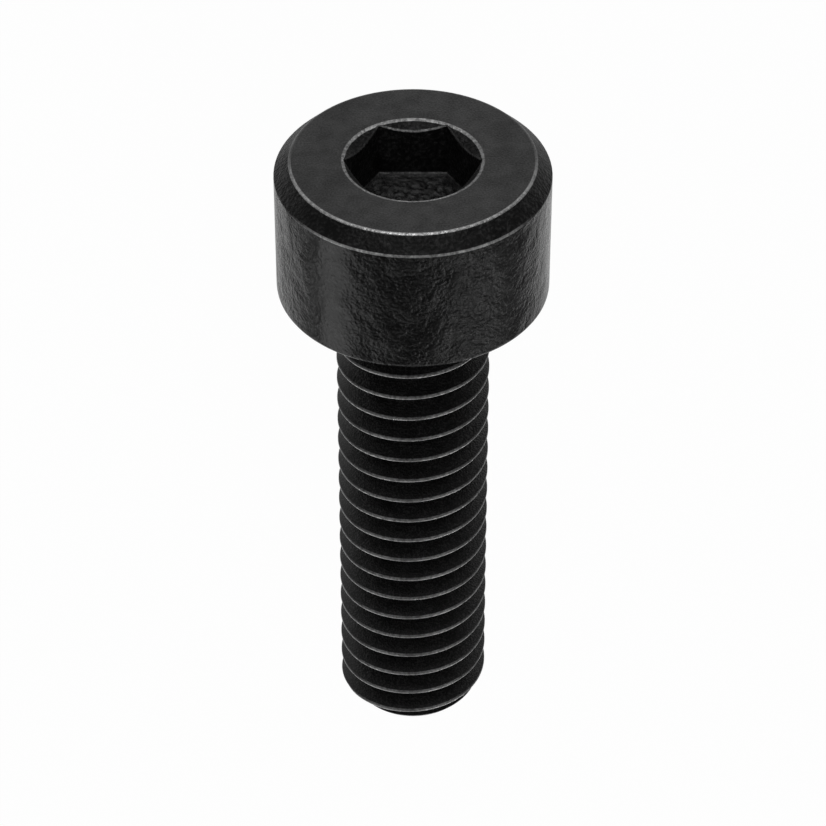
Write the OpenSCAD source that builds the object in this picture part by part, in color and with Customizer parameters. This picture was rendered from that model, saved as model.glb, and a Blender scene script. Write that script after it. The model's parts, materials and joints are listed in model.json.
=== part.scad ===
// Hex socket cap screw with a coarse metric thread, lying on its side as it comes to rest.
// Drawn first in its own frame: axis along Z, bearing face of the head at Z = 0, head above.

/* [Thread] */
// Diameter over the thread crests
thread_d = 4; // [3.6:0.05:4.3]
// Distance from one crest to the next
pitch = 0.7; // [0.6:0.05:0.8]
// Length from the bearing face of the head to the end face
length = 14; // [10:0.5:20]
// Distance from the bearing face to the first full crest on the upper side
first_crest = 1.49; // [1.46:0.01:2.1]
// Length over which the groove runs out towards the head
runout_len = 0.7; // [0.5:0.05:0.7]
// Diameter of the flat end face
point_d = 3.2; // [3.16:0.02:3.4]
// Slope of the chamfered point, measured from the axis
point_angle = 40; // [30:1:45]

/* [Head] */
// Diameter of the head
head_d = 7; // [6.4:0.1:8]
// Height of the head above its bearing face
head_h = 3.9; // [3.2:0.05:4.6]
// Chamfer round the top of the head, the same on both legs
head_chamfer = 0.4; // [0.2:0.05:0.5]
// Rounding where the side of the head meets the bearing face
rim_r = 0.14; // [0.1:0.01:0.25]

/* [Neck] */
// Fillet between the bearing face and the neck
fillet_r = 0.2; // [0.1:0.02:0.3]
// Length of the plain neck below the bearing face, fillet included
neck_len = 0.4; // [0.35:0.01:0.5]

/* [Socket] */
// Hexagon across its flats
socket_af = 3; // [2.6:0.02:3.02]
// Depth of the hexagon below the top of the head
socket_depth = 1.5; // [1:0.05:2.4]
// Depth of the countersunk mouth at the middle of each flat
mouth_depth = 0.21; // [0.15:0.01:0.4]
// Included angle of the countersunk mouth
mouth_angle = 100; // [80:5:120]

/* [Hidden] */
$fn = 96;

// Facets round one turn of the thread, a multiple of four
columns = 48;
// The profile has four corners: root end, crest start, crest end, root start
corners = 4;
// A corner this close to the end face joins it, which leaves no sliver
snap = 0.01;
// How far the threaded core reaches up inside the neck
plug = 0.15;
// How much thinner the core is than the neck that it is fused with
plug_clear = 0.02;

// Profile of an ISO metric thread: 60 degrees, crest an eighth of the pitch
flank_half_angle = 30;
crest_flat = pitch / 8;
thread_depth = 0.6134 * pitch;
flank_len = thread_depth * tan(flank_half_angle);
major_r = thread_d / 2;
root_r = major_r - thread_depth;
// Rolling a thread pushes as much metal out of the blank as it presses in
blank_r = (major_r + root_r) / 2;
neck_r = blank_r + plug_clear;

point_r = point_d / 2;
point_slope = tan(point_angle);
point_len = (major_r - point_r) / point_slope;

// Where the groove starts, and the top of the core
runout_top = neck_len + pitch / 2;
core_top = plug - neck_len;

head_r = head_d / 2;
rim_centre_r = head_r - rim_r;
mouth_slope = tan(mouth_angle / 2);
mouth_r = socket_af / 2 + mouth_depth * mouth_slope;
// The countersink is drawn a little deeper, so that it meets all six flats
mouth_len = 1.3 * mouth_depth;

// Turns of the thread, counted from the first full crest on the upper side
low_turn = floor((first_crest - length) / pitch) - 2;
high_turn = ceil((core_top + first_crest) / pitch) + 1;
rows = corners * (high_turn - low_turn + 1);

// Height of the middle of the crest, for a column and a turn
function crest_z(j, turn) = -first_crest + pitch * (j + columns * turn) / columns;

// Radius of the thread profile at a distance from the middle of the crest
function profile_r(u) =
    let (past = abs(u) - crest_flat / 2)
    past <= 0 ? major_r : max(root_r, major_r - past / tan(flank_half_angle));

// Radius of the cone of the chamfered point
function point_cone_r(z) = point_r + (z + length) * point_slope;

// Depth of the thread as a share of its full depth, nothing under the head
function groove_share(z) = min(1, max(0, (-z - runout_top) / runout_len));

// Radius of the threaded core at height z, for a crest whose middle is at zc
function core_r(z, zc) =
    min(point_cone_r(z), blank_r + groove_share(z) * (profile_r(z - zc) - blank_r));

// Height where the cone of the point cuts the flank below a crest
function lower_cut(zc) =
    let (steep = 1 / tan(flank_half_angle))
    (point_r + length * point_slope - major_r + (zc - crest_flat / 2) * steep)
    / (steep - point_slope);

// Height where the cone of the point cuts the flank above a crest
function upper_cut(zc) =
    let (steep = 1 / tan(flank_half_angle))
    (major_r - point_r - length * point_slope + (zc + crest_flat / 2) * steep)
    / (steep + point_slope);

// Height of one corner of the profile, where the chamfered point has moved it
function corner_z(zc, corner) =
    corner == 0 ? zc - crest_flat / 2 - flank_len :
    corner == 1 ? max(corner_z(zc, 0), min(zc - crest_flat / 2, lower_cut(zc))) :
    corner == 2 ? min(corner_z(zc, 3), max(zc + crest_flat / 2, upper_cut(zc))) :
    zc + crest_flat / 2 + flank_len;

function row_crest_z(j, i) = crest_z(j, low_turn + floor(i / corners));
function row_z(j, i) = corner_z(row_crest_z(j, i), i % corners);

// A point of the core: column j round the axis, at height z
function core_point(j, z, zc) =
    let (angle = 360 * j / columns - 90, r = core_r(z, zc))
    [r * cos(angle), r * sin(angle), z];

// Height of the crest that is nearest to height z in a column
function nearest_crest_z(j, z) =
    let (base = crest_z(j, 0))
    base + pitch * round((z - base) / pitch);

function ring(z) = [for (j = [0 : columns - 1]) core_point(j, z, nearest_crest_z(j, z))];

core_points = concat(
    ring(-length),
    ring(core_top),
    [for (j = [0 : columns - 1]) for (i = [0 : rows - 1])
        core_point(j, row_z(j, i), row_crest_z(j, i))]
);

// Number of a point. Corners past an end fall on its ring, and a full turn moves up one pitch
function point_id(j, i) =
    let (z = row_z(j, i))
    z <= -length + snap ? j % columns :
    z >= core_top - snap ? columns + j % columns :
    j == columns ? 2 * columns + i + corners :
    2 * columns + j * rows + i;

function wall_faces(j, i) =
    let (a = point_id(j, i), b = point_id(j + 1, i))
    let (c = point_id(j + 1, i + 1), d = point_id(j, i + 1))
    concat(b == c ? [] : [[a, c, b]], a == d ? [] : [[a, d, c]]);

core_faces = concat(
    [[for (j = [0 : columns - 1]) j]],
    [[for (j = [columns - 1 : -1 : 0]) columns + j]],
    [for (j = [0 : columns - 1]) for (i = [0 : rows - 2]) each wall_faces(j, i)]
);

// At rest the head's lower rim and one crest near the end touch the ground.
// The crest is the last full one on the side that faces down, half a turn from the upper side
contact_turn = ceil((first_crest + point_len + crest_flat / 2 - length) / pitch - 0.5);
contact_z = crest_z(columns / 2, contact_turn) - crest_flat / 2;
reach_r = rim_centre_r - major_r;
reach_z = rim_r - contact_z;
lean = atan2(reach_r, reach_z) + asin(rim_r / norm([reach_r, reach_z]));
axis_height = rim_centre_r * cos(lean) + rim_r * (1 - sin(lean));

// Furthest reach along X each way, which puts the origin under the middle
head_reach = max(
    head_h * cos(lean) + (head_r - head_chamfer) * sin(lean),
    (head_h - head_chamfer) * cos(lean) + head_r * sin(lean)
);
point_reach = length * cos(lean) + point_r * sin(lean);
middle_x = (head_reach - point_reach) / 2;

// Half section of the head: rounded lower rim, chamfered top and countersunk mouth
module head_section() {
    polygon([
        [0, 0],
        [rim_centre_r, 0],
        [rim_centre_r, rim_r],
        [head_r, rim_r],
        [head_r, head_h - head_chamfer],
        [head_r - head_chamfer, head_h],
        [mouth_r, head_h],
        [mouth_r - mouth_len * mouth_slope, head_h - mouth_len],
        [0, head_h - mouth_len]
    ]);
    translate([rim_centre_r, rim_r]) circle(rim_r);
}

// Half section of the plain neck and the fillet that joins it to the head
module neck_section() {
    translate([0, -neck_len]) square([neck_r, neck_len + rim_r]);
    difference() {
        translate([0, -fillet_r]) square([neck_r + fillet_r, fillet_r + rim_r]);
        translate([neck_r + fillet_r, -fillet_r]) circle(fillet_r);
    }
}

// Hexagonal hole for the key, with two of its corners on the X axis
module socket() {
    translate([0, 0, head_h - socket_depth])
        cylinder(d = socket_af / cos(30), h = socket_depth + 1, $fn = 6);
}

// Forged head with its socket, and the neck under it
module head() {
    difference() {
        rotate_extrude() {
            head_section();
            neck_section();
        }
        socket();
    }
}

// Rolled thread with its run-out under the head and its chamfered point
module threaded_core() {
    polyhedron(points = core_points, faces = core_faces, convexity = 10);
}

// Turns the upright screw onto its side, head towards +X, upper side up
module laid_down() {
    translate([-middle_x, 0, axis_height])
        rotate([-90, -lean, 0])
            rotate([0, 90, 0])
                children();
}

module cap_screw() {
    color([0.13, 0.13, 0.14])
        laid_down() {
            head();
            threaded_core();
        }
}

cap_screw();
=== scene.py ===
"""Looks of a hex socket cap screw in black-oxide steel, lying on a pale floor.

The screw is modelled upright in its own frame, in millimetres: axis along Z, bearing face
of the head at Z = 0, head above, and its upper side, which the camera sees, towards -Y. Its
placement then lays it where the frame's node lies.
"""

import json
import logging
import math
from collections.abc import Callable
from dataclasses import dataclass, field, replace
from enum import Enum
from functools import reduce

import bmesh
import bpy
from bmesh.types import BMEdge, BMesh, BMLayerItem, BMVert
from mathutils import Matrix, Vector, noise

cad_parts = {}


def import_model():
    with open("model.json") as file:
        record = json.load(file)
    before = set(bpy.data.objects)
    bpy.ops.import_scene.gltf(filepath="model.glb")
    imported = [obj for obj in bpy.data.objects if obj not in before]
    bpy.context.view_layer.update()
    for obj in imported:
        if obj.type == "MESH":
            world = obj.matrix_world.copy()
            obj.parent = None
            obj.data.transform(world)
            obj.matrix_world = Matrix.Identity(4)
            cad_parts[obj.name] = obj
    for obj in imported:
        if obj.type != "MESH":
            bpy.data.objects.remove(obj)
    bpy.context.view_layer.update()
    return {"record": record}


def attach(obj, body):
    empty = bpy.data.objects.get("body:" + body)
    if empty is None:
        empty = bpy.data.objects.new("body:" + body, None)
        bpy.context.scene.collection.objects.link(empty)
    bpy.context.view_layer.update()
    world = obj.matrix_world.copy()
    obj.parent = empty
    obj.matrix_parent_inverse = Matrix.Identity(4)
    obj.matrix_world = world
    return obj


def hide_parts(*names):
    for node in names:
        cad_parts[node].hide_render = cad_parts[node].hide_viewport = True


LOG = logging.getLogger("cap_screw")

MM = 0.001
NODE = "cap_screw"
BODY = "root"

# Columns round the axis. A multiple of six puts one on each corner of the hexagon
COLUMNS = 96
FULL_TURN = 2 * math.pi
# Angle of the upper side round the axis
NEAR = -math.pi / 2
# Points closer than this become one, in millimetres: of the thread, and of the whole screw
THREAD_WELD = 1e-4
SCREW_WELD = 1e-3
# Edges shorter than this share of the welding distance are dissolved
SLIVER_SHARE = 0.1
# How far from a height the points of an open loop may lie, in millimetres
LEVEL_REACH = 1e-3
WHITE = (1.0, 1.0, 1.0, 1.0)

Tree = bpy.types.NodeTree
Output = bpy.types.NodeSocket
Colour = tuple[float, float, float, float]


def srgb(hex_colour: str) -> Colour:
    """Turns a written colour to the linear one that shaders take.

    Args:
        hex_colour: An sRGB colour such as "#1a1a1b".

    Returns:
        Linear red, green and blue, with an alpha of one.
    """
    parts = (int(hex_colour[i : i + 2], 16) / 255 for i in (1, 3, 5))
    red, green, blue = (
        p / 12.92 if p <= 0.04045 else ((p + 0.055) / 1.055) ** 2.4 for p in parts
    )
    return red, green, blue, 1.0


def add_node(
    tree: Tree, kind: str, inputs: dict | None = None, **settings: object
) -> bpy.types.Node:
    """Adds a node with its settings and links.

    Args:
        tree: The node tree.
        kind: The node's type name.
        inputs: Input names or numbers, each with a value or with the output that feeds it.
        **settings: Properties of the node itself.

    Returns:
        The new node.
    """
    node = tree.nodes.new(kind)
    for name, value in settings.items():
        setattr(node, name, value)
    for key, value in (inputs or {}).items():
        if isinstance(value, bpy.types.NodeSocket):
            tree.links.new(value, node.inputs[key])
        else:
            node.inputs[key].default_value = value
    return node


def maths(tree: Tree, operation: str, *values: Output | float) -> Output:
    """Adds one sum, product or the like.

    Args:
        tree: The node tree.
        operation: The node's operation, such as "MULTIPLY".
        *values: What it works on, in order.

    Returns:
        Its output.
    """
    inputs = dict(enumerate(values))
    return add_node(tree, "ShaderNodeMath", inputs, operation=operation).outputs[0]


def product(tree: Tree, *factors: Output | float) -> Output:
    """Multiplies outputs and numbers."""
    return reduce(lambda a, b: maths(tree, "MULTIPLY", a, b), factors)


def mix(
    tree: Tree, share: Output, first: Output | Colour | float, second: Output | Colour | float
) -> Output:
    """Mixes two values, or two colours where the second is one.

    Args:
        tree: The node tree.
        share: Share of the second.
        first: One value or colour.
        second: The other.

    Returns:
        What they mix to.
    """
    kind, result = ("RGBA", 2) if isinstance(second, tuple) else ("FLOAT", 0)
    inputs = {"Factor": share, "A": first, "B": second}
    return add_node(tree, "ShaderNodeMix", inputs, data_type=kind).outputs[result]


@dataclass(frozen=True)
class Ramp:
    """Maps a span of values to another, and holds it at the ends."""

    span: tuple[float, float]
    to: tuple[float, float] = (0.0, 1.0)
    easing: str = "LINEAR"

    def add(self, tree: Tree, value: Output) -> Output:
        """Adds the ramp as a node.

        Args:
            tree: The node tree.
            value: The output that feeds it.

        Returns:
            Its output.
        """
        limits = zip(("From Min", "From Max", "To Min", "To Max"), self.span + self.to)
        inputs = {"Value": value, **dict(limits)}
        node = add_node(tree, "ShaderNodeMapRange", inputs, interpolation_type=self.easing)
        return node.outputs["Result"]


def eased(span: tuple[float, float], to: tuple[float, float]) -> Ramp:
    """A ramp that eases in and out."""
    return Ramp(span, to, "SMOOTHSTEP")


@dataclass(frozen=True)
class Pattern:
    """A noise pattern. Its size is in millimetres."""

    size: float
    detail: float
    distortion: float = 0.0

    def add(self, tree: Tree, place: Output) -> Output:
        """Adds the pattern as a node.

        Args:
            tree: The node tree.
            place: Coordinates in millimetres.

        Returns:
            Its value, which lies about one half.
        """
        inputs = {
            "Vector": place,
            "Scale": 1 / self.size,
            "Detail": self.detail,
            "Distortion": self.distortion,
        }
        return add_node(tree, "ShaderNodeTexNoise", inputs).outputs["Fac"]


class Surface(Enum):
    """How a stretch of the surface was made, as a share of forged roughness."""

    ROLLED = 0.25
    FACED = 0.0
    STRUCK = 0.12
    TRIMMED = 0.5
    PUNCHED = 0.6
    FORGED = 1.0


@dataclass(frozen=True)
class Placement:
    """Where the screw lies: from its own frame in millimetres to the row frame in metres."""

    mouth: Vector
    axis: Vector
    head_height: float

    @classmethod
    def from_record(cls, record: dict, head_height: float) -> "Placement":
        """Reads the place and direction of the socket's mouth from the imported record."""
        mount = next(m for m in record["mounts"] if m["name"] == "key_socket")
        return cls(Vector(mount["pos_m"]), Vector(mount["axis"]).normalized(), head_height)

    @property
    def upper(self) -> Vector:
        """Direction square to the axis that points to the upper side."""
        return (Vector((0, 0, 1)) - self.axis * self.axis.z).normalized()

    @property
    def turn(self) -> Matrix:
        """Rotation from the screw's own frame, whose -Y is the upper side."""
        right = self.axis.cross(self.upper)
        return Matrix((right, -self.upper, self.axis)).transposed()

    @property
    def bearing_centre(self) -> Vector:
        """Middle of the bearing face, in metres."""
        return self.mouth - self.axis * self.head_height * MM

    @property
    def matrix(self) -> Matrix:
        """The whole transform."""
        scaled = self.turn.to_4x4() @ Matrix.Scale(MM, 4)
        return Matrix.Translation(self.bearing_centre) @ scaled


@dataclass(frozen=True)
class Corner:
    """One corner of a half section, with its rounding and the finish round it.

    Attributes:
        r: Distance from the axis.
        z: Height above the bearing face.
        rounding: Radius of the corner.
        wear_and_highlight: Bare steel on the corner, worn and painted as highlight, from 0 to 1.
        surface: How the stretch that follows was made.
    """

    r: float
    z: float
    rounding: float = 0.0
    wear_and_highlight: float = 0.0
    surface: Surface = Surface.TRIMMED


@dataclass(frozen=True)
class PathPoint:
    """A point of a half section, ready to be turned about the axis."""

    r: float
    z: float
    wear_and_highlight: float
    forged: float


def fade(value: float, start: float, end: float) -> float:
    """Falls smoothly from one to zero between two values."""
    share = min(1.0, max(0.0, (value - start) / (end - start)))
    return 1 - share * share * (3 - 2 * share)


def fade_to(value: float, span: tuple[float, float], left: float) -> float:
    """Falls smoothly from one to what is left past a span."""
    return left + (1 - left) * fade(value, *span)


def unworn(angle: float) -> float:
    """Wear at any angle of a loop that has none."""
    return 0.0


def off_near(angle: float) -> float:
    """Angle from the upper side of the screw, in degrees, from 0 to 180."""
    return abs(math.degrees(math.remainder(angle - NEAR, FULL_TURN)))


def rounded_path(corners: list[Corner], steps: int, margin: float) -> list[PathPoint]:
    """Rounds the corners of a half section.

    Args:
        corners: The corners in order. The first and last are ends and stay sharp.
        steps: Segments in each rounding.
        margin: Length beside a rounding over which its wear and painted highlight fade out.

    Returns:
        The points of the half section, in order.
    """
    path = [PathPoint(corners[0].r, corners[0].z, 0.0, corners[0].surface.value)]
    for before, corner, after in zip(corners, corners[1:], corners[2:]):
        here = Vector((corner.r, corner.z))
        back = (Vector((before.r, before.z)) - here).normalized()
        ahead = (Vector((after.r, after.z)) - here).normalized()
        half_open = back.angle(ahead) / 2
        tangent = corner.rounding / math.tan(half_open)
        centre = here + (back + ahead).normalized() * (corner.rounding / math.sin(half_open))
        start = here + back * tangent
        end = here + ahead * tangent
        fade_in = here + back * (tangent + margin)
        fade_out = here + ahead * (tangent + margin)
        path.append(PathPoint(*fade_in, 0.0, before.surface.value))
        for step in range(steps + 1):
            share = step / steps
            spoke = (start - centre).lerp(end - centre, share).normalized()
            point = centre + spoke * corner.rounding
            path.append(PathPoint(*point, corner.wear_and_highlight, corner.surface.value))
        path.append(PathPoint(*fade_out, 0.0, corner.surface.value))
    last = corners[-1]
    path.append(PathPoint(last.r, last.z, 0.0, last.surface.value))
    return path


# Radius and height of a loop's point, and its wear and painted highlight, for an angle
# round the axis
Place = Callable[[float], tuple[float, float]]
Wear = Callable[[float], float]


class SteelMesh:
    """A mesh in the making. Its points carry wear and painted highlight, and how forged they are.
    """

    def __init__(self) -> None:
        """Starts an empty mesh."""
        self.bm: BMesh = bmesh.new()
        self.wear_and_highlight = self.bm.verts.layers.float.new("wear_and_highlight")
        self.forged = self.bm.verts.layers.float.new("forged")

    def chain(self, path: list[PathPoint], angle: float) -> list[BMVert | BMEdge]:
        """Lays a half section out at an angle round the axis.

        Args:
            path: The half section.
            angle: Where it stands, in radians.

        Returns:
            Its vertices and edges.
        """
        verts = []
        for point in path:
            place = (point.r * math.cos(angle), point.r * math.sin(angle), point.z)
            vert = self.bm.verts.new(place)
            vert[self.wear_and_highlight] = point.wear_and_highlight
            vert[self.forged] = point.forged
            verts.append(vert)
        edges = [self.bm.edges.new(pair) for pair in zip(verts, verts[1:])]
        return verts + edges

    def spin(self, path: list[PathPoint], angle: float, rise: float = 0.0) -> None:
        """Spins a half section once round the axis.

        Args:
            path: The half section.
            angle: Where it starts.
            rise: How far it rises on its way. Where it doesn't, its ends are joined.
        """
        bmesh.ops.spin(
            self.bm,
            geom=self.chain(path, angle),
            cent=(0, 0, 0),
            axis=(0, 0, 1),
            dvec=(0, 0, rise / COLUMNS),
            angle=FULL_TURN,
            steps=COLUMNS,
            use_merge=not rise,
        )

    def open_ring(self, z: float) -> list[BMEdge]:
        """Finds the open edge loop that lies at a height.

        Args:
            z: The height.

        Returns:
            Its edges.
        """
        return [
            edge
            for edge in self.bm.edges
            if edge.is_boundary and all(abs(v.co.z - z) < LEVEL_REACH for v in edge.verts)
        ]

    def extend_ring(
        self,
        ring: list[BMEdge],
        place: Place,
        wear_and_highlight: Wear,
        surface: Surface,
    ) -> list[BMEdge]:
        """Extrudes an open loop and moves the new loop to its place.

        Args:
            ring: The edges of the open loop.
            place: Gives radius and height for an angle round the axis.
            wear_and_highlight: Gives the wear and painted highlight for an angle round the axis.
            surface: How the surface at the new loop was made.

        Returns:
            The edges of the new loop.
        """
        made = bmesh.ops.extrude_edge_only(self.bm, edges=ring)["geom"]
        for vert in (g for g in made if isinstance(g, BMVert)):
            angle = math.atan2(vert.co.y, vert.co.x)
            r, z = place(angle)
            vert.co = (r * math.cos(angle), r * math.sin(angle), z)
            vert[self.wear_and_highlight] = wear_and_highlight(angle)
            vert[self.forged] = surface.value
        return [g for g in made if isinstance(g, BMEdge) and g.is_boundary]

    def close_ring(self, ring: list[BMEdge], z: float) -> None:
        """Draws an open loop together into one point on the axis.

        Args:
            ring: The edges of the open loop.
            z: Height of the point.
        """
        made = bmesh.ops.extrude_edge_only(self.bm, edges=ring)["geom"]
        verts = [g for g in made if isinstance(g, BMVert)]
        bmesh.ops.pointmerge(self.bm, verts=verts, merge_co=(0, 0, z))

    def weld(self, distance: float) -> None:
        """Merges what coincides and turns every face outwards.

        Args:
            distance: How far apart points may lie to be merged.
        """
        sliver = distance * SLIVER_SHARE
        bmesh.ops.remove_doubles(self.bm, verts=self.bm.verts[:], dist=distance)
        bmesh.ops.dissolve_degenerate(self.bm, edges=self.bm.edges[:], dist=sliver)
        bmesh.ops.recalc_face_normals(self.bm, faces=self.bm.faces[:])


@dataclass
class Thread:
    """A rolled right-hand metric thread, its run-out and its chamfered point."""

    major_d: float = 4.0
    pitch: float = 0.7
    length: float = 14.0
    first_crest: float = 1.49
    neck_length: float = 0.4
    runout: float = 0.7
    point_d: float = 3.2
    point_angle: float = math.radians(40)
    crest_rounding: float = 0.032
    root_rounding: float = 0.09
    wear_and_highlight_margin: float = 0.008
    # Wear and painted highlight of each crest's lower and upper corner, as bare steel
    crest_wear_and_highlight: tuple[float, float] = (1.0, 0.23)
    # Angles from the upper side, in degrees, over which wear and painted highlight fade, and
    # what is left of it: first for all but the lower corner, then for the whole crest
    corner_fade: tuple[float, float] = (24.0, 52.0)
    corner_left: float = 0.2
    crest_fade: tuple[float, float] = (35.0, 70.0)
    crest_left: float = 0.5
    # What the wear and painted highlight lose in the middle of the upper side, and the angles
    # over which that ends
    middle_lost: float = 0.25
    middle_fade: tuple[float, float] = (2.0, 18.0)

    half_angle: float = math.radians(30)
    # Depth of the profile and width of its crest, as shares of the pitch, in the standard form
    depth_share: float = 0.6134
    crest_flat_share: float = 0.125
    corner_steps: int = 3
    # Turns drawn past the point and past the neck, which the ends cut off
    spare_turns: tuple[int, int] = (2, 1)
    # Loops inside the end face, as shares of its radius
    end_loops: tuple[float, ...] = (0.97, 0.6)

    @property
    def major_r(self) -> float:
        """Radius at the crests."""
        return self.major_d / 2

    @property
    def root_r(self) -> float:
        """Radius at the roots."""
        return self.major_r - self.depth_share * self.pitch

    @property
    def blank_r(self) -> float:
        """Radius of the plain blank that the thread is rolled on."""
        return (self.major_r + self.root_r) / 2

    @property
    def crest_half(self) -> float:
        """Half the width of the flat crest."""
        return self.pitch * self.crest_flat_share / 2

    @property
    def join_z(self) -> float:
        """Height at which the threaded shank meets the plain neck."""
        return -self.neck_length

    def half_profile(self) -> list[Corner]:
        """Lists the corners of one pitch of the profile.

        Returns:
            The corners from the root through the crest to the next root.
        """
        half_pitch = self.pitch / 2
        foot = self.crest_half + (self.major_r - self.root_r) * math.tan(self.half_angle)
        rolled = Surface.ROLLED
        round_root = self.root_rounding
        round_crest = self.crest_rounding
        low, high = self.crest_wear_and_highlight
        return [
            Corner(self.root_r, -half_pitch, surface=rolled),
            Corner(self.root_r, -foot, round_root, 0.0, rolled),
            Corner(self.major_r, -self.crest_half, round_crest, low, rolled),
            Corner(self.major_r, self.crest_half, round_crest, high, rolled),
            Corner(self.root_r, foot, round_root, 0.0, rolled),
            Corner(self.root_r, half_pitch, surface=rolled),
        ]

    def profile(self) -> list[PathPoint]:
        """Lists the points of one pitch of the profile.

        Returns:
            The points, worn and painted with highlight most on the crest's lower corner.
        """
        path = rounded_path(self.half_profile(), self.corner_steps, self.wear_and_highlight_margin)
        high = self.crest_wear_and_highlight[1]
        inner = [
            replace(p, wear_and_highlight=max(p.wear_and_highlight, high)) if abs(p.z) <= self.crest_half else p
            for p in path[1:-1]
            if abs(p.z) < self.pitch / 2 - THREAD_WELD
        ]
        return [path[0], *inner, path[-1]]

    def crest_near(self, angle: float, z: float) -> float:
        """Height of the middle of the crest that is nearest to a point."""
        turned = ((angle - NEAR) / FULL_TURN) % 1.0
        first = -self.first_crest + self.pitch * turned
        return first + self.pitch * round((z - first) / self.pitch)

    def point_cone(self, z: float) -> float:
        """Radius of the chamfered point's cone at a height."""
        return self.point_d / 2 + (z + self.length) * math.tan(self.point_angle)

    def cut_reach(self, crest_z: float, side: int) -> float:
        """Distance from a crest's middle at which the point's cone cuts its flank.

        Args:
            crest_z: Height of the middle of the crest.
            side: 1 for the flank above the crest, -1 for the one below.

        Returns:
            The distance along the axis, never less than half the crest.
        """
        steep = 1 / math.tan(self.half_angle)
        slope = math.tan(self.point_angle)
        spare = self.major_r + self.crest_half * steep - self.point_cone(crest_z)
        return max(self.crest_half, spare / (steep + side * slope))

    def fit(self, vert: BMVert, wear_and_highlight: BMLayerItem) -> None:
        """Moves a point of the endless thread to where the real shank has it.

        Near the point, the crest narrows or is cut away to the chamfer. Under the head, the
        groove runs out to the plain blank. Past either end, points fall on the end itself.

        Args:
            vert: The point.
            wear_and_highlight: The layer that holds its wear and painted highlight.
        """
        angle = math.atan2(vert.co.y, vert.co.x)
        r = math.hypot(vert.co.x, vert.co.y)
        z = vert.co.z
        crest_z = self.crest_near(angle, z)
        side = 1 if z >= crest_z else -1
        away = abs(z - crest_z)
        reach = self.cut_reach(crest_z, side)
        half_pitch = self.pitch / 2
        if reach > self.crest_half:
            if away <= self.crest_half:
                away *= reach / self.crest_half
            else:
                share = (half_pitch - away) / (half_pitch - self.crest_half)
                away = half_pitch - share * (half_pitch - reach)
            r = min(r, self.flank_radius(away))
            z = crest_z + side * away
        if z < -self.length:
            z = -self.length
            r = self.flank_radius(abs(z - self.crest_near(angle, z)))
            vert[wear_and_highlight] = 0.0
        z = min(self.join_z, z)
        r = min(r, self.point_cone(z))
        runout_top = -self.neck_length - half_pitch
        groove = min(1.0, max(0.0, (runout_top - z) / self.runout))
        r = self.blank_r + groove * (r - self.blank_r)
        turned = off_near(angle)
        # Wear and painted highlight fade away from the upper side, and with the run-out
        if vert[wear_and_highlight] < self.crest_wear_and_highlight[0]:
            vert[wear_and_highlight] *= fade_to(turned, self.corner_fade, self.corner_left)
        vert[wear_and_highlight] *= groove**2 * self.crest_highlight_share(turned)
        vert.co = (r * math.cos(angle), r * math.sin(angle), z)

    def crest_highlight_share(self, away: float) -> float:
        """Share of a crest's wear and painted highlight left at an angle from the upper side."""
        middle = 1 - self.middle_lost * fade(away, *self.middle_fade)
        return middle * fade_to(away, self.crest_fade, self.crest_left)

    def flank_radius(self, away: float) -> float:
        """Radius of the profile at a distance along the axis from the crest's middle."""
        past = max(0.0, away - self.crest_half)
        return max(self.root_r, self.major_r - past / math.tan(self.half_angle))

    def build(self, mesh: SteelMesh) -> None:
        """Rolls the thread: one turn is spun along its helix, then repeated along the shank.

        Args:
            mesh: The mesh to build on, still empty.
        """
        bm = mesh.bm
        past_point, past_neck = self.spare_turns
        low = math.floor((self.first_crest - self.length) / self.pitch) - past_point
        high = math.ceil((self.join_z + self.first_crest) / self.pitch) + past_neck
        start_z = -self.first_crest + low * self.pitch
        mesh.spin([replace(p, z=p.z + start_z) for p in self.profile()], NEAR, self.pitch)
        one_turn = bm.verts[:] + bm.edges[:] + bm.faces[:]
        for turn in range(1, high - low + 1):
            copy = bmesh.ops.duplicate(bm, geom=one_turn)["geom"]
            moved = [g for g in copy if isinstance(g, BMVert)]
            bmesh.ops.translate(bm, verts=moved, vec=(0, 0, turn * self.pitch))
        for vert in bm.verts:
            self.fit(vert, mesh.wear_and_highlight)
        mesh.weld(THREAD_WELD)
        ring = mesh.open_ring(-self.length)
        for share in self.end_loops:
            end_r = share * self.point_d / 2
            ring = mesh.extend_ring(
                ring, lambda a: (end_r, -self.length), unworn, Surface.TRIMMED
            )
        mesh.close_ring(ring, -self.length)


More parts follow.
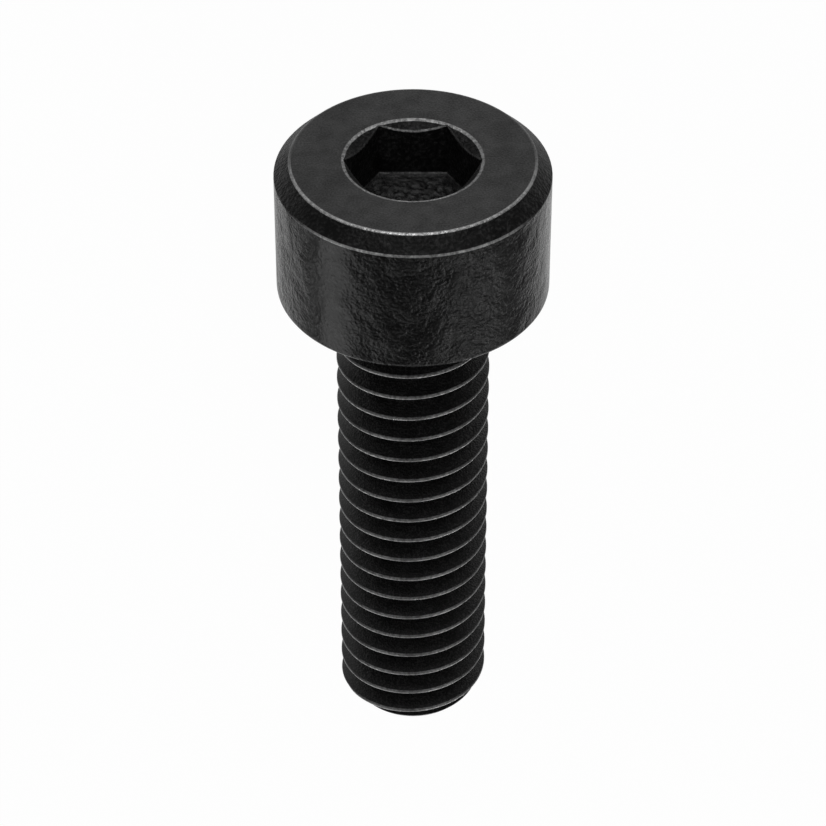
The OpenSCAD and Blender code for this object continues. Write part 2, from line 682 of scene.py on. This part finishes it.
@dataclass
class Socket:
    """The hexagonal key socket with its countersunk mouth.

    Fades round the axis run over degrees from the upper side.
    """

    across_flats: float = 3.0
    depth: float = 1.5
    mouth_depth: float = 0.21
    mouth_angle: float = math.radians(100)
    mouth_rounding: float = 0.06
    mouth_sink: float = 0.005
    flat_rounding: float = 0.03
    floor_rounding: float = 0.03
    floor_relief: float = 0.14
    # How far wear and painted highlight reach onto the top, in roundings, and what is lost
    # except at the far side
    mouth_cover: float = 0.7
    cover_lost: float = 0.25
    # Wear and painted highlight round the mouth, what is lost of it at the sides, and where
    # the sides are
    mouth_worn: float = 0.57
    side_lost: float = 0.17
    near_fade: tuple[float, float] = (20.0, 60.0)
    far_fade: tuple[float, float] = (100.0, 150.0)
    # Wear at the top of the flats, what the far one has more, and how far from its middle
    flat_worn: tuple[float, float] = (0.06, 0.34)
    flat_fade: tuple[float, float] = (26.0, 34.0)
    # What the edge round the floor loses of its wear except at the far side
    floor_edge_lost: float = 0.8
    floor_edge_fade: tuple[float, float] = (138.0, 152.0)
    # Wear of the floor, and the depths as shares of the relief over which it ends
    floor_worn: float = 0.07
    high_spots: tuple[float, float] = (0.35, 0.6)

    # The most that a worn edge takes of the countersink's width
    strip_limit: float = 0.35
    # Wear ends at this many widths of an edge
    fade_reach: float = 1.4
    # Loops round the floor: how far in and up, as shares of the rounding, and their wear
    floor_edge: tuple[tuple[float, float, float], ...] = (
        (0.0, 2.0, 0.0),
        (0.0, 1.0, 0.09),
        (1 / 3, 1 / 3, 0.24),
        (1.0, 0.0, 0.07),
    )
    floor_rings: int = 34
    # Dents per millimetre, with their fractal increment, lacunarity and octaves
    dent_density: float = 8.0
    dent_fractal: tuple[float, float, int] = (1.0, 2.0, 3)

    @property
    def slope(self) -> float:
        """How fast the countersink widens on its way up."""
        return math.tan(self.mouth_angle / 2)

    @property
    def mouth_r(self) -> float:
        """Radius of the mouth at the top of the head."""
        return self.across_flats / 2 + self.mouth_depth * self.slope

    def hexagon(self, angle: float) -> float:
        """Distance from the axis to the hexagon's wall, with corners on the X axis."""
        sixth = math.pi / 3
        return self.across_flats / 2 / math.cos(angle % sixth - sixth / 2)

    def build(self, mesh: SteelMesh, ring: list[BMEdge], top: float) -> None:
        """Sinks the socket from the open loop that the head leaves round the mouth.

        Args:
            mesh: The mesh to build on.
            ring: The open loop.
            top: Height of the head.
        """
        for place, wear_and_highlight in self.mouth_loops(top):
            ring = mesh.extend_ring(ring, place, wear_and_highlight, Surface.PUNCHED)
        floor = top - self.depth
        edge = self.floor_rounding
        for inwards, up, worn in self.floor_edge:
            ring = mesh.extend_ring(
                ring,
                lambda a: (self.hexagon(a) - inwards * edge, floor + up * edge),
                lambda a: worn * self.floor_edge_share(a),
                Surface.PUNCHED,
            )
        for step in range(1, self.floor_rings):
            share = 1 - step / self.floor_rings
            ring = mesh.extend_ring(
                ring,
                lambda a: self.floor_place(a, share, floor),
                lambda a: self.floor_wear(a, share),
                Surface.STRUCK,
            )
        mesh.close_ring(ring, floor)

    def mouth_loops(self, top: float) -> list[tuple[Place, Wear]]:
        """Lists the loops of the mouth's edge, the countersink and the top of the flats.

        Args:
            top: Height of the head.

        Returns:
            The place and the wear of each loop, from the mouth inwards.
        """
        worn = self.mouth_rounding
        keen = self.flat_rounding
        reach = self.fade_reach
        return [
            (lambda a: (self.mouth_r + worn * self.mouth_reach(a), top), self.mouth_wear_and_highlight),
            (lambda a: (self.mouth_r, top - self.mouth_sink), self.mouth_wear_and_highlight),
            (lambda a: self.on_cone(a, self.strip_share(a, worn / 2), top), self.mouth_wear_and_highlight),
            (lambda a: self.on_cone(a, reach * self.strip_share(a, worn / 2), top), unworn),
            (lambda a: self.on_cone(a, 1 - reach * self.strip_share(a, keen), top), unworn),
            (lambda a: self.on_cone(a, 1 - self.strip_share(a, keen / 2), top), self.flat_wear),
            (lambda a: self.on_wall(a, keen / 2, top), self.flat_wear),
            (lambda a: self.on_wall(a, keen, top), unworn),
        ]

    def on_cone(self, angle: float, share: float, top: float) -> tuple[float, float]:
        """Finds a point of the countersink.

        Args:
            angle: Where it stands round the axis.
            share: How far in it lies, from 0 at the mouth to 1 at the hexagon's wall.
            top: Height of the head.

        Returns:
            Its radius and height.
        """
        r = self.mouth_r + share * (self.hexagon(angle) - self.mouth_r)
        return r, top - (self.mouth_r - r) / self.slope

    def on_wall(self, angle: float, depth: float, top: float) -> tuple[float, float]:
        """Finds the point of the hexagon's wall that lies this deep under the countersink."""
        return self.hexagon(angle), self.on_cone(angle, 1.0, top)[1] - depth

    def strip_share(self, angle: float, width: float) -> float:
        """Share of the countersink's width that an edge takes."""
        return min(self.strip_limit, width / (self.mouth_r - self.hexagon(angle)))

    def mouth_reach(self, angle: float) -> float:
        """How far the mouth's wear and painted highlight reach onto the top, in roundings."""
        return self.mouth_cover - self.cover_lost * fade(off_near(angle), *self.far_fade)

    def mouth_wear_and_highlight(self, angle: float) -> float:
        """Wear and painted highlight round the mouth, where the key is steered in."""
        away = off_near(angle)
        at_side = fade(away, *self.far_fade) - fade(away, *self.near_fade)
        return self.mouth_worn - self.side_lost * at_side

    def flat_wear(self, angle: float) -> float:
        """Wear at the top of the flats, most on the far flat."""
        least, more = self.flat_worn
        return least + more * fade(180 - off_near(angle), *self.flat_fade)

    def floor_edge_share(self, angle: float) -> float:
        """Share of the wear round the floor, which is mostly lost except on the far side."""
        return 1 - self.floor_edge_lost * fade(off_near(angle), *self.floor_edge_fade)

    def floor_place(self, angle: float, share: float, floor: float) -> tuple[float, float]:
        """A point of the floor, roughened as the punch leaves it."""
        return self.hexagon(angle) * share, floor - self.floor_relief * self.dent(angle, share)

    def floor_wear(self, angle: float, share: float) -> float:
        """Wear of the floor, whose high spots the key's end has touched."""
        return self.floor_worn * fade(self.dent(angle, share), *self.high_spots)

    def dent(self, angle: float, share: float) -> float:
        """Depth of the floor's roughness at a point, as a share of the relief."""
        r = self.hexagon(angle) * share
        spot = Vector((r * math.cos(angle), r * math.sin(angle), 0)) * self.dent_density
        return 0.5 + 0.5 * noise.fractal(spot, *self.dent_fractal)


@dataclass
class Head:
    """The forged cylindrical head, from the neck's lower end to the socket's mouth."""

    diameter: float = 7.0
    height: float = 3.9
    chamfer: float = 0.4
    rim_rounding: float = 0.14
    fillet: float = 0.2
    edge_rounding: tuple[float, float] = (0.06, 0.08)
    margin: float = 0.02
    # Wear and painted highlight on the head's edges: bare steel stands in for their highlight
    edge_wear_and_highlight: float = 0.58
    # Degrees from the upper side over which the upper edge's wear and painted highlight
    # fade, and what is left
    upper_fade: tuple[float, float] = (62.0, 100.0)
    upper_left: float = 0.1
    # The same for the lower edge's wear and painted highlight, which also loses some
    # right at the front
    lower_fade: tuple[float, float] = (30.0, 62.0)
    front_lost: float = 0.4
    front_fade: tuple[float, float] = (4.0, 22.0)

    corner_steps: int = 4

    @property
    def radius(self) -> float:
        """Radius of the head."""
        return self.diameter / 2

    def build(self, mesh: SteelMesh, thread: Thread, socket: Socket) -> None:
        """Turns the head and neck about the axis, then sinks the socket into them.

        Args:
            mesh: The mesh to build on, which holds the thread.
            thread: The thread, which gives the neck its size.
            socket: The socket to sink.
        """
        low, high = self.edge_rounding
        top, worn = self.height, self.edge_wear_and_highlight
        inner = socket.mouth_r + socket.mouth_cover * socket.mouth_rounding + self.margin
        corners = [
            Corner(thread.blank_r, thread.join_z, surface=Surface.ROLLED),
            Corner(thread.blank_r, 0.0, self.fillet, 0.0, Surface.TRIMMED),
            Corner(self.radius, 0.0, self.rim_rounding, 0.0, Surface.FORGED),
            Corner(self.radius, top - self.chamfer, low, worn, Surface.TRIMMED),
            Corner(self.radius - self.chamfer, top, high, worn, Surface.FACED),
            Corner(inner, top, surface=Surface.FACED),
        ]
        mesh.spin(rounded_path(corners, self.corner_steps, self.margin), 0.0)
        # Wear and painted highlight on the edges of the top, strongest on the upper side
        for vert in mesh.bm.verts:
            if vert.co.z > 0:
                angle = math.atan2(vert.co.y, vert.co.x)
                vert[mesh.wear_and_highlight] *= self.edge_highlight_share(angle, vert.co.z)
        socket.build(mesh, mesh.open_ring(top), top)

    def edge_highlight_share(self, angle: float, z: float) -> float:
        """Share of an edge's wear and painted highlight that is left at an angle round the head.

        The edge of the top is painted pale as a highlight on the upper side, and hardly on the
        far one. The edge below the chamfer is painted pale only on the upper side.

        Args:
            angle: Where the point stands round the axis.
            z: Its height, which tells the two edges apart.

        Returns:
            The share.
        """
        away = off_near(angle)
        if z > self.height - self.chamfer / 2:
            return fade_to(away, self.upper_fade, self.upper_left)
        return (1 - self.front_lost * fade(away, *self.front_fade)) * fade(away, *self.lower_fade)


@dataclass(frozen=True)
class Skin:
    """What the parts of the finish share: the patterns and the mesh's own values."""

    wear_and_highlight: Output
    forged: Output
    cloud: Output
    lump: Output
    wrinkle: Output
    coarse_grain: Output
    grain: Output
    relief_share: Output


@dataclass(frozen=True)
class BlackOxide:
    """Hot black oxide on forged and rolled alloy steel, lightly oiled.

    The oxide is a thin dark skin, near black with a grey sheen where it is smooth. On keen
    edges the steel shows through as a fine pale line, partly wear and partly a painted
    highlight that is strongest on the upper side. The turned face of the head is smoother
    than the rest, which keeps more oil and gives it more sheen.
    """

    oxide: str = "#0a0a0a"
    oxide_pale: str = "#141414"
    fleck: str = "#2c2c2c"
    # Bare steel, which also paints the highlight lines on edges, crests and the mouth
    steel: str = "#e4e4e4"
    specular: float = 0.2
    coat_roughness: float = 0.3

    cloud: Pattern = Pattern(1.3, 2.0)
    lump: Pattern = Pattern(0.42, 2.5, 0.3)
    wrinkle: Pattern = Pattern(0.12, 2.0, 0.7)
    coarse_grain: Pattern = Pattern(0.085, 3.0)
    fine_grain: Pattern = Pattern(0.05, 2.0)
    # From fine to coarse grain, by how forged the surface is
    grain_change: Ramp = Ramp((0.25, 0.5))

    # The grain breaks the wear and painted highlight up
    rub_grain: Ramp = Ramp((0.35, 0.65), (0.54, 1.38))
    # Pale oxide by the lumps. Flecks by grain and lumps, less where faced or fully forged
    mottle: Ramp = Ramp((0.35, 0.65))
    fleck_grain: Ramp = Ramp((0.5, 0.62))
    fleck_lump: Ramp = Ramp((0.35, 0.65), (0.5, 1.5))
    fleck_made: Ramp = Ramp((0.0, 0.25), (0.1, 1.0))
    fleck_forged: Ramp = Ramp((0.3, 1.0), (0.0, 0.4))

    # Roughness by the clouds, and what the grain adds on forged skin
    satin: Ramp = Ramp((0.35, 0.65), (0.14, 0.22))
    matt_grain: Ramp = Ramp((0.4, 0.6), (0.08, 0.0))
    # Added on half forged skin. A quarter of it is the most that is reached
    cut_roughness: float = 0.7
    # Oil on the turned face, patchy by grain and lumps
    oiled: Ramp = Ramp((0.0, 0.1), (0.96, 0.0))
    oil_grain: Ramp = Ramp((0.3, 0.7), (0.6, 1.25))
    oil_lump: Ramp = Ramp((0.3, 0.7), (-0.2, 0.2))

    # How far relief of height one stands out, in millimetres
    relief_depth: float = 0.045
    # Heights of wrinkles, lumps and clouds on forged skin
    heights: tuple[float, float, float] = (0.1, 1.5, 3.0)
    # Height of the grain, by how forged the surface is: the first less the second
    grit_made: Ramp = Ramp((0.0, 0.5), (0.4, 1.1))
    grit_forged: Ramp = Ramp((0.5, 1.0), (0.0, 0.3))
    # Share of the relief, by millimetres across. The smooth strip is this far to the left
    smooth_strip: float = 2.05
    strip_relief: Ramp = Ramp((0.25, 0.8), (0.25, 1.0))
    right_relief: Ramp = Ramp((0.3, 1.3), (1.1, 1.35))
    edge_relief: Ramp = Ramp((1.5, 2.5), (1.0, 0.5))

    def own_space(self, tree: Tree, placement: Placement) -> Output:
        """Gives coordinates in the screw's own frame, in millimetres.

        Args:
            tree: The node tree.
            placement: Where the screw lies.

        Returns:
            The coordinates.
        """
        back = placement.turn.transposed()
        place = add_node(tree, "ShaderNodeTexCoord")
        inputs = {
            "Vector": place.outputs["Object"],
            "Location": -(back @ placement.bearing_centre / MM),
            "Rotation": back.to_euler(),
            "Scale": (1 / MM,) * 3,
        }
        return add_node(tree, "ShaderNodeMapping", inputs).outputs["Vector"]

    def relief_share(self, tree: Tree, own: Output) -> Output:
        """Gives the share of the forged relief that is left at each place.

        One strip is rubbed smooth. The relief is coarsest right of the middle, and finer
        again towards the right edge.

        Args:
            tree: The node tree.
            own: Coordinates in the screw's own frame.

        Returns:
            The share.
        """
        across = add_node(tree, "ShaderNodeSeparateXYZ", {"Vector": own}).outputs["X"]
        off_strip = maths(tree, "ABSOLUTE", maths(tree, "ADD", across, self.smooth_strip))
        smooth = self.strip_relief.add(tree, off_strip)
        right = self.right_relief.add(tree, across)
        return product(tree, smooth, right, self.edge_relief.add(tree, across))

    def patterns(self, tree: Tree, placement: Placement) -> Skin:
        """Adds the patterns, and reads the values that the mesh carries.

        Args:
            tree: The node tree.
            placement: Where the screw lies.

        Returns:
            Their outputs.
        """
        own = self.own_space(tree, placement)
        forged = add_node(tree, "ShaderNodeAttribute", attribute_name="forged").outputs["Fac"]
        coarse_grain = self.coarse_grain.add(tree, own)
        change = self.grain_change.add(tree, forged)
        return Skin(
            wear_and_highlight=add_node(tree, "ShaderNodeAttribute", attribute_name="wear_and_highlight").outputs["Fac"],
            forged=forged,
            cloud=self.cloud.add(tree, own),
            lump=self.lump.add(tree, own),
            wrinkle=self.wrinkle.add(tree, own),
            coarse_grain=coarse_grain,
            grain=mix(tree, change, self.fine_grain.add(tree, own), coarse_grain),
            relief_share=self.relief_share(tree, own),
        )

    def bare_and_highlight(self, tree: Tree, skin: Skin) -> Output:
        """Share of bare steel, for wear and painted highlight, which the grain breaks up."""
        rubbed = product(tree, skin.wear_and_highlight, self.rub_grain.add(tree, skin.coarse_grain))
        return maths(tree, "MINIMUM", rubbed, 1.0)

    def colour(self, tree: Tree, skin: Skin, bare_and_highlight: Output) -> Output:
        """Colours the skin: mottled oxide, pale flecks, and steel for wear and painted highlight.

        Args:
            tree: The node tree.
            skin: The patterns.
            bare_and_highlight: Share of bare steel, for wear and painted highlight.

        Returns:
            The colour.
        """
        mottled = self.mottle.add(tree, skin.lump)
        oxide = mix(tree, mottled, srgb(self.oxide), srgb(self.oxide_pale))
        by_grain = self.fleck_grain.add(tree, skin.grain)
        by_lump = self.fleck_lump.add(tree, skin.lump)
        made = self.fleck_made.add(tree, skin.forged)
        spread = maths(tree, "SUBTRACT", made, self.fleck_forged.add(tree, skin.forged))
        flecks = product(tree, by_grain, by_lump, spread)
        flecked = mix(tree, flecks, oxide, srgb(self.fleck))
        return mix(tree, bare_and_highlight, flecked, srgb(self.steel))

    def roughness(self, tree: Tree, skin: Skin) -> Output:
        """Gives the roughness: satin clouds, rougher where trimmed or in the dips of a forging.

        Args:
            tree: The node tree.
            skin: The patterns.

        Returns:
            The roughness.
        """
        unforged = maths(tree, "SUBTRACT", 1.0, skin.forged)
        half_forged = product(tree, skin.forged, unforged)
        satin = self.satin.add(tree, skin.cloud)
        cut = maths(tree, "MULTIPLY_ADD", half_forged, self.cut_roughness, satin)
        matt = product(tree, self.matt_grain.add(tree, skin.grain), skin.relief_share)
        return maths(tree, "MULTIPLY_ADD", matt, skin.forged, cut)

    def sheen(self, tree: Tree, skin: Skin) -> Output:
        """Weight of the oil, which only the turned face keeps."""
        by_grain = self.oil_grain.add(tree, skin.grain)
        patchy = maths(tree, "ADD", by_grain, self.oil_lump.add(tree, skin.lump))
        return product(tree, self.oiled.add(tree, skin.forged), patchy)

    def relief(self, tree: Tree, skin: Skin) -> Output:
        """Raises the forging's clouds, lumps and wrinkles and the grain of every surface.

        Args:
            tree: The node tree.
            skin: The patterns.

        Returns:
            The normal.
        """
        level: Output | float = -sum(self.heights) / 2
        for pattern, height in zip((skin.wrinkle, skin.lump, skin.cloud), self.heights):
            level = maths(tree, "MULTIPLY_ADD", pattern, height, level)
        forging = product(tree, level, skin.forged)
        made = self.grit_made.add(tree, skin.forged)
        grit = maths(tree, "SUBTRACT", made, self.grit_forged.add(tree, skin.forged))
        gritty = product(tree, maths(tree, "SUBTRACT", skin.grain, 0.5), grit)
        height = product(tree, maths(tree, "ADD", gritty, forging), skin.relief_share)
        inputs = {"Height": height, "Strength": 1.0, "Distance": self.relief_depth * MM}
        return add_node(tree, "ShaderNodeBump", inputs).outputs["Normal"]

    def material(self, placement: Placement) -> bpy.types.Material:
        """Builds the node material in the screw's own frame.

        Args:
            placement: Where the screw lies.

        Returns:
            The material.
        """
        made = bpy.data.materials.new("black_oxide_steel")
        made.use_nodes = True
        tree = made.node_tree
        tree.nodes.clear()
        skin = self.patterns(tree, placement)
        bare_and_highlight = self.bare_and_highlight(tree, skin)
        inputs = {
            "Base Color": self.colour(tree, skin, bare_and_highlight),
            "Metallic": bare_and_highlight,
            "Roughness": self.roughness(tree, skin),
            "Specular IOR Level": self.specular,
            "Coat Weight": self.sheen(tree, skin),
            "Coat Roughness": self.coat_roughness,
            "Normal": self.relief(tree, skin),
        }
        shader = add_node(tree, "ShaderNodeBsdfPrincipled", inputs)
        add_node(tree, "ShaderNodeOutputMaterial", {"Surface": shader.outputs["BSDF"]})
        return made


@dataclass
class CapScrew:
    """The whole screw, one piece of steel."""

    head: Head = field(default_factory=Head)
    socket: Socket = field(default_factory=Socket)
    thread: Thread = field(default_factory=Thread)
    finish: BlackOxide = field(default_factory=BlackOxide)

    def build(self, record: dict) -> bpy.types.Object:
        """Models the screw, lays it down and dresses it.

        Args:
            record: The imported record, which says where the screw lies.

        Returns:
            The finished piece.
        """
        steel = SteelMesh()
        self.thread.build(steel)
        LOG.info("thread: %d points", len(steel.bm.verts))
        self.head.build(steel, self.thread, self.socket)
        steel.weld(SCREW_WELD)
        LOG.info("screw: %d points, %d faces", len(steel.bm.verts), len(steel.bm.faces))
        open_edges = sum(not e.is_manifold for e in steel.bm.edges)
        LOG.info("screw: %d edges are open", open_edges)
        placement = Placement.from_record(record, self.head.height)
        steel.bm.transform(placement.matrix)
        for face in steel.bm.faces:
            face.smooth = True
        mesh = bpy.data.meshes.new("cap_screw_steel")
        steel.bm.to_mesh(mesh)
        steel.bm.free()
        piece = bpy.data.objects.new("cap_screw_steel", mesh)
        bpy.context.scene.collection.objects.link(piece)
        mesh.materials.append(self.finish.material(placement))
        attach(piece, BODY)
        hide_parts(NODE)
        return piece


@dataclass(frozen=True)
class PhotoCamera:
    """The camera, where it stood to the screw. Lengths are in millimetres."""

    distance: float = 93.19
    below_top: float = 8.238
    elevation: float = math.radians(39.75)
    focal_px: float = 3519.4
    frame_px: float = 826.0
    sensor: float = 36.0
    # Where the view begins and ends, in metres
    clip: tuple[float, float] = (0.005, 20.0)

    def build(self, placement: Placement) -> bpy.types.Object:
        """Sets the camera up and makes it the scene's own.

        Args:
            placement: Where the screw lies.

        Returns:
            The camera.
        """
        data = bpy.data.cameras.new("photo_camera")
        data.sensor_width = self.sensor
        data.lens = self.focal_px / self.frame_px * self.sensor
        data.clip_start, data.clip_end = self.clip
        target = placement.mouth - placement.axis * self.below_top * MM
        toward = placement.upper * math.cos(self.elevation)
        toward += placement.axis * math.sin(self.elevation)
        right = placement.axis.cross(placement.upper)
        turn = Matrix((right, toward.cross(right), toward)).transposed()
        camera = bpy.data.objects.new("photo_camera", data)
        eye = target + toward * self.distance * MM
        camera.matrix_world = Matrix.Translation(eye) @ turn.to_4x4()
        bpy.context.scene.collection.objects.link(camera)
        bpy.context.scene.camera = camera
        return camera


@dataclass(frozen=True)
class SoftBox:
    """A soft rectangular lamp. Lengths are in metres.

    Attributes:
        name: What the lamp is for.
        azimuth: Direction from the screw, in degrees from +X towards +Y.
        elevation: Degrees above the floor.
        size: Width and height.
        glow: Radiance of its face, where one renders as white.
        distance: How far it stands.
    """

    name: str
    azimuth: float
    elevation: float
    size: tuple[float, float]
    glow: float
    distance: float = 0.6

    def build(self) -> bpy.types.Object:
        """Hangs the lamp, facing the screw.

        Returns:
            The lamp.
        """
        data = bpy.data.lights.new(self.name, "AREA")
        data.shape = "RECTANGLE"
        data.size, data.size_y = self.size
        data.energy = self.glow * math.pi * self.size[0] * self.size[1]
        across, up = math.radians(self.azimuth), math.radians(self.elevation)
        away = Vector(
            (math.cos(across) * math.cos(up), math.sin(across) * math.cos(up), math.sin(up))
        )
        lamp = bpy.data.objects.new(self.name, data)
        lamp.location = away * self.distance
        lamp.rotation_euler = away.to_track_quat("Z", "Y").to_euler()
        bpy.context.scene.collection.objects.link(lamp)
        return lamp


@dataclass(frozen=True)
class Studio:
    """Pale floor, soft lamps and a ceiling that is darker than the horizon."""

    floor_size: float = 3.0
    floor_colour: str = "#f2f2f2"
    # Share of plain white in what the eye and the steel see of the floor
    white_to_eye: float = 0.98
    white_to_steel: float = 0.85
    # Painted pools of light and shade on the floor, which the steel sees in its reflections:
    # level of the white along axes of the row frame in metres
    painted_pool_ramps: tuple[tuple[str, Ramp], ...] = (
        ("Y", eased((-0.016, -0.009), (0.08, 0.95))),
        ("Y", eased((0.009, 0.018), (1.0, 0.28))),
        ("X", eased((0.005, 0.01), (1.0, 0.42))),
        ("X", eased((0.014, 0.034), (1.0, 2.0))),
    )
    # Level of the sky that the steel sees, by its direction: darker high up and at the head
    sky_ramps: tuple[tuple[str, Ramp], ...] = (
        ("Z", eased((0.15, 0.6), (0.5, 0.04))),
        ("X", eased((-0.3, 0.4), (1.0, 0.15))),
    )
    lamps: tuple[SoftBox, ...] = (
        SoftBox("head_lamp", 0, 10, (0.45, 0.28), 2.4),
        SoftBox("overhead_lamp", 180, 88, (0.5, 0.5), 0.12),
        SoftBox("front_lamp", 0, 57, (0.5, 0.5), 0.72),
        SoftBox("left_lamp", 136, 14, (0.34, 0.34), 1.5),
        SoftBox("right_lamp", -142, 25, (0.26, 0.26), 3.6),
        SoftBox("left_top_lamp", 90, 55, (0.25, 0.2), 0.6),
        SoftBox("right_top_lamp", -90, 55, (0.25, 0.2), 0.6),
        SoftBox("left_front_lamp", 34, 4, (0.2, 0.16), 0.9),
        SoftBox("right_front_lamp", -34, 4, (0.2, 0.16), 0.9),
    )

    def build_floor(self) -> bpy.types.Object:
        """Lays the floor, which shows as white and keeps a soft shadow.

        Returns:
            The floor.
        """
        bm = bmesh.new()
        bmesh.ops.create_grid(bm, x_segments=2, y_segments=2, size=self.floor_size / 2)
        mesh = bpy.data.meshes.new("floor")
        bm.to_mesh(mesh)
        bm.free()
        floor = bpy.data.objects.new("floor", mesh)
        bpy.context.scene.collection.objects.link(floor)
        mesh.materials.append(self.floor_material())
        return floor

    def level(self, tree: Tree, place: Output, ramps: tuple[tuple[str, Ramp], ...]) -> Output:
        """Multiplies ramps along the axes of a place or a direction.

        Args:
            tree: The node tree.
            place: The place or direction.
            ramps: Each ramp with its axis.

        Returns:
            The product.
        """
        split = add_node(tree, "ShaderNodeSeparateXYZ", {"Vector": place})
        return product(tree, *(ramp.add(tree, split.outputs[axis]) for axis, ramp in ramps))

    def floor_material(self) -> bpy.types.Material:
        """Makes a matt white board, mostly plain white to the eye.

        The steel sees it mostly as white in painted pools of light and shade.

        Returns:
            The material.
        """
        made = bpy.data.materials.new("white_board_with_painted_pools")
        made.use_nodes = True
        tree = made.node_tree
        tree.nodes.clear()
        rays = add_node(tree, "ShaderNodeLightPath")
        to_eye = rays.outputs["Is Camera Ray"]
        to_steel = rays.outputs["Is Glossy Ray"]
        eye = product(tree, to_eye, self.white_to_eye)
        share = maths(tree, "MULTIPLY_ADD", to_steel, self.white_to_steel, eye)
        board = add_node(tree, "ShaderNodeBsdfDiffuse", {"Color": srgb(self.floor_colour)})
        place = add_node(tree, "ShaderNodeTexCoord").outputs["Object"]
        # Glow: plain white to the eye, painted pools of light and shade to the steel
        glow_with_painted_pools = mix(tree, to_eye, self.level(tree, place, self.painted_pool_ramps), 1.0)
        white = add_node(tree, "ShaderNodeEmission", {"Color": WHITE, "Strength": glow_with_painted_pools})
        inputs = {0: share, 1: board.outputs[0], 2: white.outputs[0]}
        mixed = add_node(tree, "ShaderNodeMixShader", inputs)
        add_node(tree, "ShaderNodeOutputMaterial", {"Surface": mixed.outputs[0]})
        return made

    def build_world(self) -> None:
        """Lights the sky: white to the eye, and to the steel bright only near the horizon."""
        world = bpy.data.worlds.new("studio")
        world.use_nodes = True
        tree = world.node_tree
        tree.nodes.clear()
        rays = add_node(tree, "ShaderNodeLightPath")
        way = add_node(tree, "ShaderNodeTexCoord").outputs["Generated"]
        dimmed = self.level(tree, way, self.sky_ramps)
        glow = mix(tree, rays.outputs["Is Camera Ray"], dimmed, 1.0)
        sky = add_node(tree, "ShaderNodeBackground", {"Color": WHITE, "Strength": glow})
        add_node(tree, "ShaderNodeOutputWorld", {"Surface": sky.outputs[0]})
        bpy.context.scene.world = world

    def build(self) -> None:
        """Builds the floor, the sky and the lamps."""
        self.build_floor()
        self.build_world()
        for lamp in self.lamps:
            lamp.build()


def main() -> None:
    """Builds the screw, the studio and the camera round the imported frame."""
    logging.basicConfig(level=logging.INFO, format="%(name)s: %(message)s")
    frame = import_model()
    screw = CapScrew()
    piece = screw.build(frame["record"])
    LOG.info("%s is dressed", piece.name)
    placement = Placement.from_record(frame["record"], screw.head.height)
    PhotoCamera().build(placement)
    Studio().build()
    bpy.context.scene.view_settings.view_transform = "Standard"
    bpy.context.view_layer.update()


if __name__ == "__main__":
    main()
